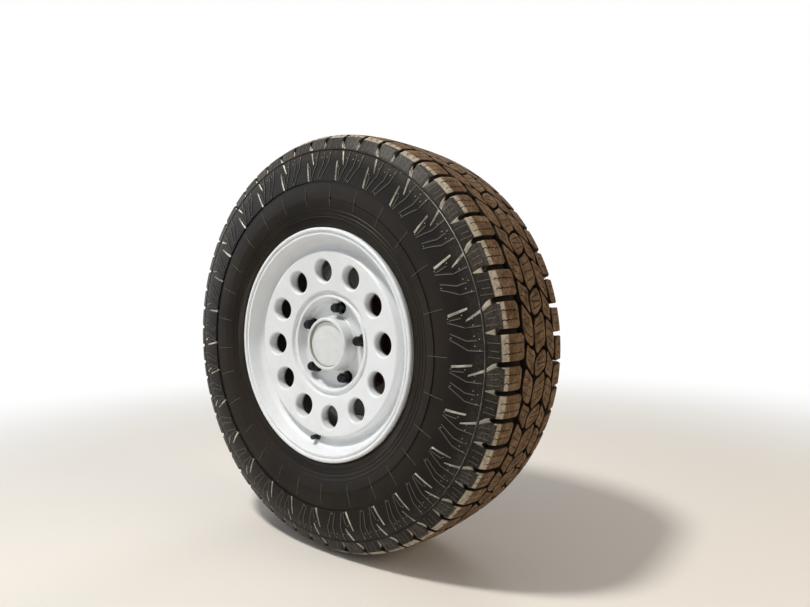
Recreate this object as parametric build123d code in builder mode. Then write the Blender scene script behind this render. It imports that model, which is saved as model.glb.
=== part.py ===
from build123d import *
import math
import os

# A front wheel of a lifted off-road 4x4, with the hub, the brake and the stub axle that carry it.
# Millimetres. The wheel turns about Y and its face looks towards -Y, out of the vehicle's left side.
# +X is the vehicle's rear and +Z is up. The origin is the centre of the stub axle's bolting face.
# Offsets are counted from the wheel's centre plane, negative on the outer side.
wheel_centre_y = -115.0

# Tyre
tyre_r = 425.0
tread_half_width = 113.0
section_half_width = 134.0
tread_depth = 12.5
crown_thickness = 25.0
wall_thickness = 13.0
shoulder_drop = 15.0
lug_side_height = 23.0
side_lug_height = 59.0
side_lug_rise = 2.5
shoulder_groove_width = 8.0
channel_place = 61.5
channel_width = 8.0
channel_draft = 1.0
channel_fall = 2.3
pitch_sequence = "LLMMMMMMMMLSMMSMLMMSMLMSSSMM"
pitch_shares = {"S": 11.0, "M": 13.0, "L": 14.7}
first_pitch_angle = -2.0

# Rim, 17 by 8.5 inches between its flanges
bead_seat_r = 218.3
flange_height = 17.2
rim_half_width = 108.0
lip_projection = 15.5
well_depth = 19.3
barrel_wall = 7.0
bead_gap = 0.3

# Wheel disc
disc_edge_inset = 3.0
disc_edge_offset = -103.5
face_inner_offset = -92.5
pocket_floor = -68.0
pocket_r = 94.5
face_ring_width = 5.3
pad_offset = -35.0
pad_r = 88.0
centre_bore_r = 55.05
vent_count = 12
vent_r = 23.0
vent_rounding = 4.0
vent_first_angle = 2.0

# Studs and nuts
stud_count = 5
stud_circle_r = 75.0
stud_first_angle = 6.0
stud_r = 7.0
stud_hole_r = 7.6
nut_well_r = 13.5
nut_seat_depth = 15.0
nut_across_flats = 19.0
nut_skirt_r = 12.4
nut_tip_r = 7.6
nut_projection = 23.5
nut_dome = 5.0
nut_cone_length = 8.0
thread_gap = 0.05
seat_gap = 0.1

# Centre cap
cap_base_r = 58.0
cap_rim_r = 54.5
cap_height = 31.5
cap_wall = 3.0
cap_plate_r = 46.0
cap_recess = 5.0
plate_thickness = 2.6

# Valve
valve_angle = 258.8
valve_hole_r = 5.75
valve_collar_r = 7.8
valve_core_r = 3.6
valve_cap_r = 4.8
valve_length = 16.0

# Balance weights
weight_count = 5
weight_length = 19.0
weight_thickness = 3.4
weight_arc = 4.6

# Brake disc
brake_clearance = 27.0
brake_ring_width = 61.0
brake_ring_offset = 6.0
brake_ring_thickness = 30.0
brake_plate = 10.0
vane_count = 36
vane_width = 5.0
hat_r = 96.0
hat_wall = 8.0

# Hub and bearings
hub_flange_r = 87.0
hub_flange_thickness = 14.0
hub_barrel_r = 50.0
hub_back = 56.0
hub_front = -58.0
inner_bearing_r = 42.0
outer_bearing_r = 36.0
inner_bearing_span = (30.0, 50.0)
outer_bearing_span = (-42.0, -22.0)
running_gap = 0.05

# Stub axle
flange_thickness = 18.0
flange_r = 84.0
shaft_bore_r = 20.0
inner_journal_r = 30.0
outer_journal_r = 27.0
thread_step = 2.0
spindle_front = -57.0
spindle_nut_thickness = 8.0
spindle_nut_width = 62.0
flange_bolt_count = 8
flange_bolt_circle_r = 60.0
flange_hole_r = 5.5

# Caliper, straight behind the axle, and the two ears that hold its bracket
ear_x = 116.0
ear_height = 44.0
ear_r = 15.0
ear_step = 3.0
bracket_bolt_r = 6.0
bolt_head_width = 18.0
bolt_head_thickness = 8.0
bracket_standoff = 18.0
bracket_thickness = 13.0
arm_width = 24.0
caliper_clearance = 11.0
bridge_gap = 5.0
pad_half_height = 50.0
pad_lining = 11.0
pad_plate = 5.0
air_gap = 0.4
piston_housing_r = 27.0
finger_thickness = 14.0
guide_pin_r = 5.0
guide_head_width = 16.0
sliding_gap = 0.1
shield_gauge = 2.0

# Sizes that follow from the ones above
rim_flange_r = bead_seat_r + flange_height
lip_offset = -rim_half_width - lip_projection
well_r = bead_seat_r - well_depth
barrel_inner_r = well_r - barrel_wall
disc_edge_r = barrel_inner_r - disc_edge_inset
face_inner_r = pocket_r + face_ring_width + 9.2
vent_circle_r = (disc_edge_r + face_inner_r) / 2 + 1
valve_circle_r = barrel_inner_r + 7
valve_seat_offset = pocket_floor - 19
nut_seat_offset = pocket_floor + nut_seat_depth
nut_tip_offset = pocket_floor - nut_projection
cap_front_offset = pocket_floor - cap_height
brake_r = barrel_inner_r - brake_clearance
brake_ring_inner_r = brake_r - brake_ring_width
brake_back = brake_ring_offset + brake_ring_thickness
hub_face = pad_offset + hat_wall
flange_back = -wheel_centre_y
flange_front = flange_back - flange_thickness
bracket_back = flange_front - bracket_standoff
bracket_front = bracket_back - bracket_thickness
caliper_r = barrel_inner_r - caliper_clearance
outer_pad_back = brake_ring_offset - air_gap - pad_lining - pad_plate
inner_pad_back = brake_back + air_gap + pad_lining + pad_plate
arm_start = pad_half_height + 4
guide_height = arm_start + arm_width / 2
guide_x = (ear_x + caliper_r) / 2


def facing_out(offset, radius=0, angle=0):
    """A plane that looks towards -Y, centred on the spin axis or on a circle about it."""
    turn = math.radians(angle)
    centre = (radius * math.cos(turn), wheel_centre_y + offset, radius * math.sin(turn))
    return Plane(origin=centre, x_dir=(1, 0, 0), z_dir=(0, -1, 0))


def section_at(angle):
    """A plane through the spin axis: radius along its x, offset along its y."""
    turn = math.radians(angle)
    centre = (0, wheel_centre_y, 0)
    return Plane(origin=centre, x_dir=(math.cos(turn), 0, math.sin(turn)), z_dir=(-math.sin(turn), 0, math.cos(turn)))


# Wheel, one casting. Columns: radius, offset, rounding of the corner
rim_outline = [
    (rim_flange_r, lip_offset, 3.6),
    (rim_flange_r, -rim_half_width - 5, 0),
    (rim_flange_r - 6, -rim_half_width, 0),
    (bead_seat_r, -rim_half_width, 0),
    (bead_seat_r - 2, -rim_half_width + 19, 0),
    (bead_seat_r - 6, -rim_half_width + 26, 0),
    (well_r, -rim_half_width + 50, 0),
    (well_r, 8, 0),
    (bead_seat_r - 8, 28, 0),
    (bead_seat_r - 2, rim_half_width - 19, 0),
    (bead_seat_r, rim_half_width, 0),
    (rim_flange_r - 6, rim_half_width, 0),
    (rim_flange_r, rim_half_width + 5, 0),
    (rim_flange_r - 1, rim_half_width + 11.5, 2.5),
    (rim_flange_r - 8, rim_half_width + 11.5, 2.5),
    (bead_seat_r - 8, rim_half_width - 4, 0),
    (bead_seat_r - 18, 30, 0),
    (barrel_inner_r, 6, 0),
    (barrel_inner_r, -76, 0),
]
disc_outline = [
    (disc_edge_r - 8, -81, 0),
    (face_inner_r, pocket_floor - 2, 0),
    (pad_r + 7, pocket_floor + 6, 0),
    (pad_r, pad_offset, 0),
    (centre_bore_r, pad_offset, 0),
    (centre_bore_r, pocket_floor, 0),
    (pocket_r - 6, pocket_floor, 9),
    (pocket_r, pocket_floor - 21.5, 2),
    (pocket_r + face_ring_width, pocket_floor - 21.5, 1.2),
    (pocket_r + face_ring_width + 1.2, pocket_floor - 17.5, 0),
    (face_inner_r - 1.5, pocket_floor - 17.5, 0),
    (face_inner_r, face_inner_offset, 1.8),
    (disc_edge_r, disc_edge_offset, 5),
]
lip_outline = [
    (disc_edge_r + 7, -84.5, 4),
    (rim_flange_r - 22.5, -96, 16),
    (rim_flange_r - 15, lip_offset + 2.7, 1.5),
    (rim_flange_r - 10.9, lip_offset + 2.7, 0),
    (rim_flange_r - 10.3, lip_offset + 4.5, 0),
    (rim_flange_r - 8.5, lip_offset + 4.5, 0),
    (rim_flange_r - 7.7, lip_offset, 3),
]
wheel_outline = rim_outline + disc_outline + lip_outline
stud_turns = [stud_first_angle + number * 360 / stud_count for number in range(stud_count)]
between_vents = vent_first_angle + 180 / vent_count
with BuildPart() as wheel:
    with BuildSketch(section_at(between_vents)):
        with BuildLine():
            corners = [(radius, offset) for radius, offset, rounding in wheel_outline]
            roundings = [rounding for radius, offset, rounding in wheel_outline]
            FilletPolyline(corners, radius=roundings, close=True)
        make_face()
    revolve(axis=Axis.Y)
    with BuildSketch(facing_out(lip_offset)):
        with PolarLocations(vent_circle_r, vent_count, start_angle=vent_first_angle):
            Circle(vent_r)
    extrude(amount=-60, mode=Mode.SUBTRACT)
    face_y = wheel_centre_y + (disc_edge_offset + face_inner_offset) / 2
    vent_edges = [
        edge
        for edge in wheel.edges()
        if edge.length > 6 * vent_r
        and edge.bounding_box().size.X < 3 * vent_r
        and abs(edge.center(CenterOf.BOUNDING_BOX).Y - face_y) < 5
    ]
    fillet(vent_edges, radius=vent_rounding)
    with BuildSketch(facing_out(pad_offset)):
        with PolarLocations(stud_circle_r, stud_count, start_angle=stud_first_angle):
            Circle(stud_hole_r)
    extrude(amount=60, mode=Mode.SUBTRACT)
    seat_depth = (nut_well_r - stud_hole_r) * math.sqrt(3)
    for turn in stud_turns:
        with BuildSketch(facing_out(nut_seat_offset, stud_circle_r, turn)):
            Circle(nut_well_r)
        extrude(amount=60, mode=Mode.SUBTRACT)
        with BuildSketch(facing_out(nut_seat_offset, stud_circle_r, turn)):
            Circle(nut_well_r)
        with BuildSketch(facing_out(nut_seat_offset + seat_depth, stud_circle_r, turn)):
            Circle(stud_hole_r)
        loft(mode=Mode.SUBTRACT)
    with BuildSketch(facing_out(valve_seat_offset, valve_circle_r, valve_angle)):
        Circle(valve_collar_r + 1)
    extrude(amount=30, mode=Mode.SUBTRACT)
    with BuildSketch(facing_out(valve_seat_offset, valve_circle_r, valve_angle)):
        Circle(valve_hole_r)
    extrude(amount=-30, mode=Mode.SUBTRACT)
wheel.part.label = "wheel"

# Tyre. Each half pitch is a sector with flat faces; its corners lie in the grooves, so each lug is flat.
pitch_total = sum(pitch_shares[letter] for letter in pitch_sequence)
half_pitches = {letter: share * 180 / pitch_total for letter, share in pitch_shares.items()}
bead_r = (bead_seat_r + bead_gap / 2) / math.cos(math.radians(max(half_pitches.values()) / 2))
lug_foot_r = tyre_r - shoulder_drop - lug_side_height
side_lug_foot_r = lug_foot_r - side_lug_height
floor_r = tyre_r - tread_depth
channel_outer = channel_place + channel_width / 2
channel_inner = channel_place - channel_width / 2
# Columns: radius, half width
tyre_outline = [
    (bead_r, rim_half_width - 17),
    (bead_r + 0.6, rim_half_width - bead_gap),
    (rim_flange_r - 5, rim_half_width - bead_gap),
    (side_lug_foot_r - 24, section_half_width - 2.5),
    (side_lug_foot_r, section_half_width - side_lug_rise),
    (side_lug_foot_r + 4, section_half_width),
    (lug_foot_r, tread_half_width + 12),
    (tyre_r - shoulder_drop, tread_half_width),
    (tyre_r - channel_fall, channel_outer + channel_draft),
    (floor_r, channel_outer - channel_draft),
    (floor_r, channel_inner + channel_draft),
    (tyre_r - channel_fall, channel_inner - channel_draft),
]
cavity_outline = [
    (side_lug_foot_r - 6, section_half_width - wall_thickness),
    (tyre_r - crown_thickness, tread_half_width - 34),
]
tyre_section = [(radius, -width) for radius, width in tyre_outline] + [(tyre_r, 0)]
tyre_section += [(radius, width) for radius, width in reversed(tyre_outline)]
tyre_section += [(radius, width) for radius, width in cavity_outline]
tyre_section += [(radius, -width) for radius, width in reversed(cavity_outline)]
half_sectors = {}
for letter, half_pitch in half_pitches.items():
    with BuildPart() as half_sector:
        flat_share = math.cos(math.radians(half_pitch / 2))
        with BuildSketch(section_at(half_pitch / 2)):
            with BuildLine():
                Polyline([(radius * flat_share, offset) for radius, offset in tyre_section], close=True)
            make_face()
        extrude(amount=tyre_r / 8, both=True)
        split(bisect_by=section_at(0), keep=Keep.TOP)
        split(bisect_by=section_at(half_pitch), keep=Keep.BOTTOM)
    half_sectors[letter] = half_sector.part


def mirrored(points):
    """The same outline on the tyre's other side."""
    return [(radius, -offset) for radius, offset in reversed(points)]


# Grooves between pitches cross the tread and run down between the side lugs; the rest start in a channel
groove_floor = [(floor_r, channel_outer - channel_draft), (lug_foot_r + 2, tread_half_width + 6.5)]
long_half = groove_floor + [
    (side_lug_foot_r, section_half_width - side_lug_rise - 1),
    (side_lug_foot_r, section_half_width + 10),
    (tyre_r + 10, section_half_width + 10),
]
short_half = [(tyre_r + 10, channel_place), (floor_r, channel_place)] + groove_floor
short_half += [(lug_foot_r + 2, section_half_width + 10), (tyre_r + 10, section_half_width + 10)]
groove_outlines = ([mirrored(long_half) + long_half], [short_half, mirrored(short_half)])
groove_shapes = []
for outlines in groove_outlines:
    shapes = []
    for outline in outlines:
        with BuildPart() as groove:
            with BuildSketch(section_at(0)):
                with BuildLine():
                    Polyline(outline, close=True)
                make_face()
            extrude(amount=shoulder_groove_width / 2, both=True)
        shapes.append(groove.part)
    groove_shapes.append(shapes)

sectors = []
grooves = []
angle = first_pitch_angle
for letter in pitch_sequence:
    for half in (0, 1):
        turned = Rot(Y=-angle)
        sectors.append(turned * half_sectors[letter])
        grooves += [turned * shape for shape in groove_shapes[half]]
        angle += half_pitches[letter]
with BuildPart() as tyre:
    add(sectors)
    add(grooves, mode=Mode.SUBTRACT)
tyre.part.label = "tyre"

# Centre cap and the plate let into its front
plate_seat = cap_front_offset + cap_recess + 3
with BuildPart() as centre_cap:
    with BuildSketch(section_at(0)):
        with BuildLine():
            Polyline(
                [
                    (centre_bore_r - 0.3, pocket_floor + 8),
                    (centre_bore_r - 0.3, pocket_floor - seat_gap),
                    (cap_base_r, pocket_floor - seat_gap),
                    (cap_base_r, pocket_floor - 3),
                    (cap_rim_r + 1, pocket_floor - 5),
                    (cap_rim_r, cap_front_offset + 3),
                    (cap_rim_r - 0.9, cap_front_offset + 0.9),
                    (cap_rim_r - 3, cap_front_offset),
                    (cap_rim_r - 5.5, cap_front_offset),
                    (cap_plate_r + 1.2, cap_front_offset + 1),
                    (cap_plate_r + 0.3, cap_front_offset + cap_recess),
                    (cap_plate_r + 0.3, plate_seat),
                    (0, plate_seat),
                    (0, plate_seat + cap_wall),
                    (cap_rim_r - cap_wall, plate_seat + cap_wall),
                    (cap_rim_r - cap_wall, pocket_floor + 8),
                ],
                close=True,
            )
        make_face()
    revolve(axis=Axis.Y)
centre_cap.part.label = "centre_cap"

with BuildPart() as cap_plate:
    with BuildSketch(facing_out(plate_seat - seat_gap)):
        Circle(cap_plate_r)
    extrude(amount=plate_thickness)
    chamfer(cap_plate.edges().group_by(Axis.Y)[0], 0.8)
cap_plate.part.label = "cap_plate"

# Lug nuts, closed at the tip, on tapered seats
nut_face = nut_seat_offset - seat_gap
lug_nuts = []
for number, turn in enumerate(stud_turns):
    with BuildPart() as lug_nut:
        with BuildSketch(facing_out(nut_face, stud_circle_r, turn)):
            RegularPolygon(nut_across_flats / 2, 6, major_radius=False)
        extrude(amount=nut_face - nut_tip_offset - nut_dome)
        with BuildSketch(facing_out(nut_tip_offset + nut_dome, stud_circle_r, turn)):
            Circle(nut_across_flats / 2)
        with BuildSketch(facing_out(nut_tip_offset, stud_circle_r, turn)):
            Circle(nut_tip_r)
        loft()
        with BuildSketch(facing_out(nut_face, stud_circle_r, turn)):
            Circle(nut_skirt_r)
        extrude(amount=3)
        with BuildSketch(facing_out(nut_face, stud_circle_r, turn)):
            Circle(nut_skirt_r)
        with BuildSketch(facing_out(nut_face + nut_cone_length, stud_circle_r, turn)):
            Circle(nut_skirt_r - nut_cone_length / math.sqrt(3))
        loft()
        with BuildSketch(facing_out(nut_face + nut_cone_length, stud_circle_r, turn)):
            Circle(stud_r + thread_gap)
        extrude(amount=nut_face + nut_cone_length - nut_tip_offset - 8, mode=Mode.SUBTRACT)
    lug_nut.part.label = f"lug_nut_{number + 1}"
    lug_nuts.append(lug_nut.part)

# Valve: rubber collar and stem through the rim, and its cap
with BuildPart() as valve_stem:
    with BuildSketch(facing_out(valve_seat_offset + 22, valve_circle_r, valve_angle)):
        Circle(valve_hole_r - 0.1)
    extrude(amount=23)
    with BuildSketch(facing_out(valve_seat_offset - seat_gap, valve_circle_r, valve_angle)):
        Circle(valve_collar_r)
    with BuildSketch(facing_out(valve_seat_offset - 6, valve_circle_r, valve_angle)):
        Circle(valve_cap_r)
    loft()
    with BuildSketch(facing_out(valve_seat_offset - 6, valve_circle_r, valve_angle)):
        Circle(valve_core_r)
    extrude(amount=valve_length - 6)
valve_stem.part.label = "valve_stem"

with BuildPart() as valve_cap:
    with BuildSketch(facing_out(valve_seat_offset - 8, valve_circle_r, valve_angle)):
        Circle(valve_cap_r)
    extrude(amount=valve_length - 6)
    with BuildSketch(facing_out(valve_seat_offset - 8, valve_circle_r, valve_angle)):
        Circle(valve_core_r + seat_gap)
    extrude(amount=valve_length - 8 + seat_gap, mode=Mode.SUBTRACT)
valve_cap.part.label = "valve_cap"

# Balance weights stuck inside the barrel, opposite the valve
with BuildPart() as balance_weights:
    for number in range(weight_count):
        turn = valve_angle - 180 + (number - weight_count // 2) * (weight_arc + 0.6)
        with BuildSketch(section_at(turn)):
            with Locations((barrel_inner_r - weight_thickness / 2 - 0.3, pad_offset)):
                Rectangle(weight_thickness, weight_length)
        revolve(axis=Axis.Y, revolution_arc=weight_arc)
balance_weights.part.label = "balance_weights"

# Brake disc: hat, two plates and the vanes between them
ring_middle_r = (brake_ring_inner_r + brake_r) / 2
with BuildPart() as brake_disc:
    with BuildSketch(section_at(0)):
        with BuildLine():
            Polyline(
                [
                    (centre_bore_r, hub_face),
                    (centre_bore_r, pad_offset),
                    (hat_r - 3, pad_offset),
                    (hat_r, pad_offset + 3),
                    (hat_r, brake_ring_offset - 3),
                    (hat_r + 3, brake_ring_offset),
                    (brake_r, brake_ring_offset),
                    (brake_r, brake_ring_offset + brake_plate),
                    (hat_r - hat_wall + 2, brake_ring_offset + brake_plate),
                    (hat_r - hat_wall, brake_ring_offset),
                    (hat_r - hat_wall, hub_face),
                ],
                close=True,
            )
        make_face()
        with Locations((ring_middle_r, brake_back - brake_plate / 2)):
            Rectangle(brake_ring_width, brake_plate)
    revolve(axis=Axis.Y)
    for vane in range(vane_count):
        with BuildSketch(section_at(vane * 360 / vane_count)):
            with Locations((ring_middle_r, brake_ring_offset + brake_ring_thickness / 2)):
                Rectangle(brake_ring_width - 4, brake_ring_thickness - brake_plate)
        extrude(amount=vane_width / 2, both=True)
    with BuildSketch(facing_out(pad_offset)):
        with PolarLocations(stud_circle_r, stud_count, start_angle=stud_first_angle):
            Circle(stud_hole_r)
    extrude(amount=-hat_wall, mode=Mode.SUBTRACT)
brake_disc.part.label = "brake_disc"

# Hub with its studs, turning on two bearings
with BuildPart() as hub:
    with BuildSketch(section_at(0)):
        with BuildLine():
            Polyline(
                [
                    (inner_bearing_r + running_gap, hub_back),
                    (hub_barrel_r, hub_back),
                    (hub_barrel_r, hub_face + hub_flange_thickness + 6),
                    (hub_barrel_r + 6, hub_face + hub_flange_thickness),
                    (hub_flange_r, hub_face + hub_flange_thickness),
                    (hub_flange_r, hub_face),
                    (centre_bore_r - 0.15, hub_face),
                    (centre_bore_r - 0.15, pad_offset - 15),
                    (hub_barrel_r - 1, pad_offset - 17),
                    (hub_barrel_r - 1, hub_front),
                    (outer_bearing_r + running_gap, hub_front),
                    (outer_bearing_r + running_gap, outer_bearing_span[1] + 1),
                    (outer_journal_r + 6, outer_bearing_span[1] + 1),
                    (outer_journal_r + 8, inner_bearing_span[0] - 1),
                    (inner_bearing_r + running_gap, inner_bearing_span[0] - 1),
                ],
                close=True,
            )
        make_face()
    revolve(axis=Axis.Y)
    with BuildSketch(facing_out(hub_face + 2)):
        with PolarLocations(stud_circle_r, stud_count, start_angle=stud_first_angle):
            Circle(stud_r)
    extrude(amount=hub_face + 2 - nut_tip_offset - 12)
hub.part.label = "hub"

# Bearings, each drawn as one plain ring on its journal
with BuildPart() as wheel_bearings:
    with BuildSketch(section_at(0)):
        for inner_r, outer_r, span in (
            (inner_journal_r, inner_bearing_r, inner_bearing_span),
            (outer_journal_r, outer_bearing_r, outer_bearing_span),
        ):
            with Locations(((inner_r + outer_r) / 2, sum(span) / 2)):
                Rectangle(outer_r - inner_r - 2 * running_gap, span[1] - span[0])
    revolve(axis=Axis.Y)
wheel_bearings.part.label = "wheel_bearings"

# Drive flange on the hub's end, under the centre cap
with BuildPart() as drive_flange:
    with BuildSketch(section_at(0)):
        with BuildLine():
            Polyline(
                [
                    (0, hub_front - seat_gap),
                    (hub_barrel_r - 2, hub_front - seat_gap),
                    (hub_barrel_r - 2, hub_front - 10),
                    (29, hub_front - 12),
                    (26, hub_front - 25),
                    (22, hub_front - 28),
                    (0, hub_front - 28),
                ],
                close=True,
            )
        make_face()
    revolve(axis=Axis.Y)
    with BuildSketch(facing_out(hub_front - 10)):
        with PolarLocations(hub_barrel_r - 10, 6, start_angle=30):
            RegularPolygon(6.5, 6, major_radius=False)
    extrude(amount=6)
    with BuildSketch(facing_out(hub_front)):
        Circle(shaft_bore_r - 4)
    extrude(amount=22, mode=Mode.SUBTRACT)
drive_flange.part.label = "drive_flange"

# Stub axle: hollow spindle, bolting flange and the two ears that hold the caliper's bracket
ears = [(ear_x, -ear_height), (ear_x, ear_height)]
with BuildPart() as stub_axle:
    with BuildSketch(section_at(0)):
        with BuildLine():
            Polyline(
                [
                    (shaft_bore_r, flange_back),
                    (flange_r, flange_back),
                    (flange_r, flange_front),
                    (inner_journal_r + 16, flange_front),
                    (inner_journal_r + 8, flange_front - 8),
                    (inner_journal_r + 5, inner_bearing_span[1] + 12),
                    (inner_journal_r + 5, inner_bearing_span[1] + 1),
                    (inner_journal_r, inner_bearing_span[1] + 1),
                    (inner_journal_r, inner_bearing_span[0]),
                    (outer_journal_r + 1, inner_bearing_span[0] - 4),
                    (outer_journal_r + 1, outer_bearing_span[1] + 4),
                    (outer_journal_r, outer_bearing_span[1] + 2),
                    (outer_journal_r, outer_bearing_span[0] - 1),
                    (outer_journal_r - thread_step, outer_bearing_span[0] - 2),
                    (outer_journal_r - thread_step, spindle_front + 1),
                    (outer_journal_r - thread_step - 1, spindle_front),
                    (shaft_bore_r, spindle_front),
                ],
                close=True,
            )
        make_face()
    revolve(axis=Axis.Y)
    with BuildSketch(facing_out(flange_back - ear_step)):
        with BuildLine():
            Polyline(
                [
                    (flange_r / 2, -ear_height - ear_r),
                    (ear_x, -ear_height - ear_r),
                    (ear_x + ear_r, -ear_height),
                    (ear_x + ear_r, -ear_height + 10),
                    (ear_x - 10, -18),
                    (ear_x - 10, 18),
                    (ear_x + ear_r, ear_height - 10),
                    (ear_x + ear_r, ear_height),
                    (ear_x, ear_height + ear_r),
                    (flange_r / 2, ear_height + ear_r),
                ],
                close=True,
            )
        make_face()
    extrude(amount=flange_thickness - ear_step)
    with BuildSketch(facing_out(flange_back)):
        with Locations(ears):
            Circle(bracket_bolt_r + sliding_gap)
        with PolarLocations(flange_bolt_circle_r, flange_bolt_count, start_angle=22.5):
            Circle(flange_hole_r)
        Circle(shaft_bore_r)
    extrude(amount=flange_thickness, mode=Mode.SUBTRACT)
stub_axle.part.label = "stub_axle"

# Lock nut on the spindle's end
with BuildPart() as spindle_nut:
    with BuildSketch(facing_out(outer_bearing_span[0] - 3)):
        RegularPolygon(spindle_nut_width / 2, 6, major_radius=False)
        Circle(outer_journal_r - thread_step + thread_gap, mode=Mode.SUBTRACT)
    extrude(amount=spindle_nut_thickness)
spindle_nut.part.label = "spindle_nut"

# Dust shield, open where the caliper stands
shield_rim_r = brake_r + 4
with BuildPart() as dust_shield:
    with BuildSketch(section_at(0)):
        with BuildLine():
            Polyline(
                [
                    (flange_r - 14, flange_front),
                    (flange_r + 2, flange_front),
                    (brake_ring_inner_r + 5, brake_back + 11 + shield_gauge),
                    (shield_rim_r, brake_back + 8 + shield_gauge),
                    (shield_rim_r + 5, brake_back + 1),
                    (shield_rim_r + 3, brake_back),
                    (shield_rim_r - 2, brake_back + 8),
                    (brake_ring_inner_r + 4, brake_back + 11),
                    (flange_r, flange_front - shield_gauge),
                    (flange_r - 14, flange_front - shield_gauge),
                ],
                close=True,
            )
        make_face()
    revolve(axis=Axis.Y)
    with BuildSketch(facing_out(flange_front)):
        with BuildLine():
            Polyline(
                [
                    (flange_r + 3, -pad_half_height - 32),
                    (shield_rim_r + 20, -pad_half_height - 60),
                    (shield_rim_r + 20, pad_half_height + 60),
                    (flange_r + 3, pad_half_height + 32),
                ],
                close=True,
            )
        make_face()
    extrude(amount=100, mode=Mode.SUBTRACT)
dust_shield.part.label = "dust_shield"

# Brake pads, one each side of the disc
pad_inner_x = brake_ring_inner_r + 8
pad_outer_x = brake_r - 4
with BuildPart() as brake_pads:
    for face, way in ((brake_ring_offset - air_gap, 1), (brake_back + air_gap, -1)):
        with BuildSketch(facing_out(face)):
            with BuildLine():
                Polyline(
                    [
                        (pad_inner_x, -pad_half_height + 8),
                        (pad_outer_x - 12, -pad_half_height),
                        (pad_outer_x, -pad_half_height + 18),
                        (pad_outer_x, pad_half_height - 18),
                        (pad_outer_x - 12, pad_half_height),
                        (pad_inner_x, pad_half_height - 8),
                    ],
                    close=True,
                )
            make_face()
        extrude(amount=way * (pad_lining + pad_plate))
brake_pads.part.label = "brake_pads"

# Caliper bracket, bolted to the ears, its arms reaching over the disc above and below the pads
guides = [(guide_x, -guide_height), (guide_x, guide_height)]
bar_x = ear_x - 18
with BuildPart() as caliper_bracket:
    with BuildSketch(facing_out(flange_front - seat_gap)):
        with Locations(ears):
            Circle(ear_r - 1)
    extrude(amount=bracket_standoff)
    with BuildSketch(facing_out(bracket_back)):
        with BuildLine():
            Polyline(
                [
                    (bar_x, -arm_start),
                    (bar_x + 22, -arm_start - arm_width),
                    (guide_x + 12, -arm_start - arm_width),
                    (guide_x + 12, -arm_start),
                    (bar_x + 38, -34),
                    (bar_x + 12, -30),
                    (bar_x + 12, 30),
                    (bar_x + 38, 34),
                    (guide_x + 12, arm_start),
                    (guide_x + 12, arm_start + arm_width),
                    (bar_x + 22, arm_start + arm_width),
                    (bar_x, arm_start),
                ],
                close=True,
            )
        make_face()
    extrude(amount=bracket_thickness)
    for side in (1, -1):
        with BuildSketch(facing_out(bracket_back)):
            Circle(caliper_r)
            Circle(brake_r + 4, mode=Mode.SUBTRACT)
            with Locations((caliper_r, side * guide_height)):
                Rectangle(60, arm_width, mode=Mode.INTERSECT)
        extrude(amount=bracket_back - outer_pad_back)
        with BuildSketch(facing_out(bracket_back)):
            with Locations((guide_x + 6, side * guide_height)):
                Rectangle(36, arm_width)
            Circle(caliper_r, mode=Mode.INTERSECT)
        extrude(amount=bracket_thickness)
    with BuildSketch(facing_out(flange_front)):
        with Locations(ears):
            Circle(bracket_bolt_r + sliding_gap)
        with Locations(guides):
            Circle(guide_pin_r + sliding_gap)
    extrude(amount=bracket_standoff + bracket_thickness + 1, mode=Mode.SUBTRACT)
caliper_bracket.part.label = "caliper_bracket"

# Caliper: piston housing inboard, a bridge over the disc and two fingers behind the outer pad
housing_x = pad_inner_x + 30
body_back = bracket_front - 1
with BuildPart() as caliper:
    with BuildSketch(facing_out(body_back)):
        with Locations((housing_x, 0)):
            Rectangle(60, 2 * pad_half_height - 6)
        Circle(caliper_r, mode=Mode.INTERSECT)
    extrude(amount=body_back - inner_pad_back - seat_gap)
    with BuildSketch(facing_out(inner_pad_back + seat_gap)):
        with Locations((housing_x, 0)):
            Circle(piston_housing_r)
    extrude(amount=-40)
    with BuildSketch(facing_out(bracket_back + seat_gap)):
        with BuildLine():
            Polyline(
                [
                    (guide_x - 13, -guide_height - 10),
                    (guide_x + 11, -guide_height - 10),
                    (guide_x + 15, -guide_height + 8),
                    (guide_x + 11, 0),
                    (guide_x + 15, guide_height - 8),
                    (guide_x + 11, guide_height + 10),
                    (guide_x - 13, guide_height + 10),
                    (guide_x - 23, 0),
                ],
                close=True,
            )
        make_face()
    extrude(amount=-12)
    with BuildSketch(facing_out(body_back)):
        Circle(caliper_r)
        Circle(brake_r + bridge_gap, mode=Mode.SUBTRACT)
        with Locations((caliper_r, 0)):
            Rectangle(40, 2 * pad_half_height - 6, mode=Mode.INTERSECT)
    extrude(amount=body_back - outer_pad_back + finger_thickness)
    with BuildSketch(facing_out(outer_pad_back - seat_gap)):
        with Locations((housing_x + 8, 0)):
            Rectangle(70, 2 * pad_half_height - 6)
        Circle(caliper_r, mode=Mode.INTERSECT)
        with Locations((pad_inner_x + 6, 0)):
            Rectangle(30, 30, mode=Mode.SUBTRACT)
    extrude(amount=finger_thickness)
    with BuildSketch(facing_out(bracket_back + 20)):
        with Locations(guides):
            Circle(guide_pin_r + sliding_gap)
    extrude(amount=30, mode=Mode.SUBTRACT)
caliper.part.label = "caliper"

with BuildPart() as guide_pins:
    with BuildSketch(facing_out(bracket_back + 12 + 2 * seat_gap)):
        with Locations(guides):
            Circle(guide_pin_r)
    extrude(amount=bracket_thickness + 15)
    with BuildSketch(facing_out(bracket_back + 12 + 2 * seat_gap)):
        with Locations(guides):
            RegularPolygon(guide_head_width / 2, 6, major_radius=False)
    extrude(amount=-6)
guide_pins.part.label = "guide_pins"

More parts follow.
